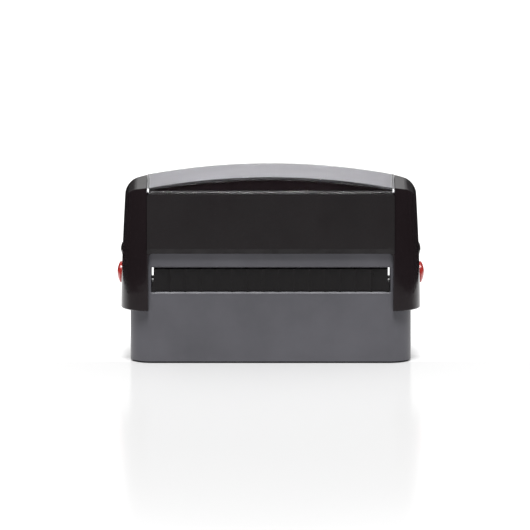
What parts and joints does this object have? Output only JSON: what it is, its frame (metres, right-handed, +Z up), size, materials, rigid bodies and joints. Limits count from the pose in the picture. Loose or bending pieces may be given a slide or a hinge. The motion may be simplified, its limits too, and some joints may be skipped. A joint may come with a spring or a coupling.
{
  "type": "self-inking stamp",
  "caption": "Self-inking stamp: pressing the sprung cap turns the printing die over from the ink pad onto the paper; the ink cartridge slides out.",
  "frame": {"origin": "on the table, under the middle of the base's foot ring", "axes": "+Z up along the cap's stroke, front faces -Y, +X to the viewer's right"},
  "size_m": [0.0966, 0.03, 0.0594],
  "materials": {
    "base_plastic": "fine satin grain",
    "grip_rubber": "matt",
    "cartridge_plastic": "satin",
    "ink_felt": "felt soaked with black ink",
    "carrier_plastic": "satin",
    "cushion_foam": "fine foam",
    "die_rubber": "matt, slightly inked face",
    "cap_plastic": "gloss",
    "panel_plastic": "fine matt texture",
    "clear_plastic": "clear gloss acrylic",
    "card_paper": "smooth silver-grey card",
    "pin_steel": "turned",
    "spring_steel": "drawn wire",
    "button_plastic": "gloss"
  },
  "bodies": {
    "base": {"base_casing": "base_plastic", "base_grip_ring": "grip_rubber", "left_return_spring": "spring_steel", "right_return_spring": "spring_steel"},
    "cartridge": {"cartridge_tray": "cartridge_plastic", "ink_pad": "ink_felt"},
    "cap": {"cap_shell": "cap_plastic", "front_panel": "panel_plastic", "back_panel": "panel_plastic", "index_card": "card_paper", "left_axle_pin": "pin_steel", "right_axle_pin": "pin_steel"},
    "cover": {"index_window": "clear_plastic"},
    "die": {"die_carrier": "carrier_plastic", "die_cushion": "cushion_foam", "rubber_die": "die_rubber", "left_guide_pin": "carrier_plastic", "right_guide_pin": "carrier_plastic"},
    "left_button": {"left_lock_button": "button_plastic"},
    "right_button": {"right_lock_button": "button_plastic"}
  },
  "joints": [
    {"name": "cap_press", "type": "slide", "parent": "base", "child": "cap", "axis": [0, 0, -1], "range_m": [0, 0.015], "stiffness_N_per_m": 250, "springref_m": -0.016, "deforming": ["left_return_spring", "right_return_spring"]},
    {"name": "die_flip", "type": "hinge", "parent": "cap", "child": "die", "pos_m": [0, 0, 0.0188], "axis": [1, 0, 0], "range_deg": [0, 180]},
    {"name": "cartridge_slide", "type": "slide", "parent": "base", "child": "cartridge", "axis": [0, 1, 0], "range_m": [-0.027, 0]},
    {"name": "index_window_lift", "type": "slide", "parent": "cap", "child": "cover", "axis": [0, 0, 1], "range_m": [0, 0.008]},
    {"name": "left_button_push", "type": "slide", "parent": "cap", "child": "left_button", "axis": [-1, 0, 0], "range_m": [-0.001, 0], "stiffness_N_per_m": 800, "springref_m": 0.0008},
    {"name": "right_button_push", "type": "slide", "parent": "cap", "child": "right_button", "axis": [1, 0, 0], "range_m": [-0.001, 0], "stiffness_N_per_m": 800, "springref_m": 0.0008}
  ],
  "couplings": [
    {"joint": "die_flip", "follows": "cap_press", "rad_per_m": 209.44}
  ]
}
